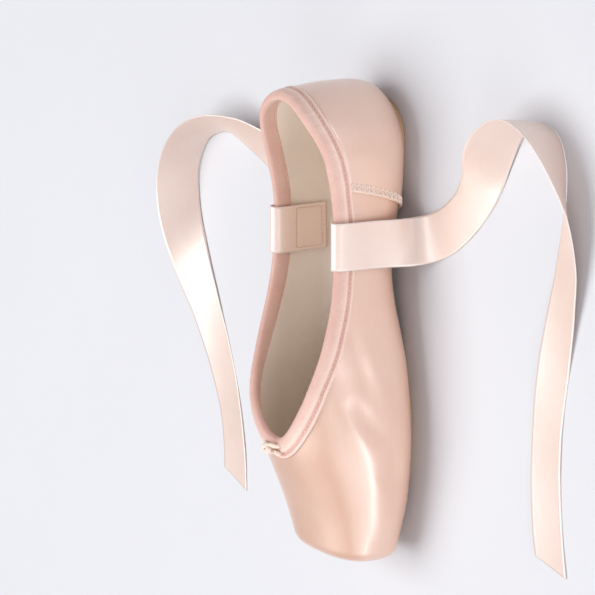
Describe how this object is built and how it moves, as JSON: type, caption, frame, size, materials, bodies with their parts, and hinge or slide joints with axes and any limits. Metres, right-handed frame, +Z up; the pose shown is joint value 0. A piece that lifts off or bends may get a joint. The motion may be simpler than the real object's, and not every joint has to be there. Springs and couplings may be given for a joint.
{
  "type": "pointe shoe",
  "caption": "Satin ballet pointe shoe with a stiff boxed toe and flat platform, bound topline with drawstring, lapped heel piece, leather sole and sewn-in ribbons.",
  "frame": {"origin": "on the floor under the middle of the shoe's length, ribbons left out", "axes": "+X from the heel to the toe, +Z up, +Y across the shoe"},
  "size_m": [0.229, 0.3517, 0.0657],
  "materials": {
    "satin": "peach satin over a stiffened canvas box",
    "heel_satin": "peach satin",
    "binding_tape": "matt pink tape",
    "drawstring_cord": "soft braided cord",
    "ribbon_satin": "glossy satin ribbon",
    "sole_leather": "buffed leather",
    "insole_cotton": "plain cotton"
  },
  "bodies": {
    "root": {"upper": "satin", "heel_cover": "heel_satin", "binding": "binding_tape", "drawstring_knot": "drawstring_cord", "ribbon_outer": "ribbon_satin", "ribbon_inner": "ribbon_satin", "outsole": "sole_leather", "insole": "insole_cotton"}
  },
  "joints": []
}
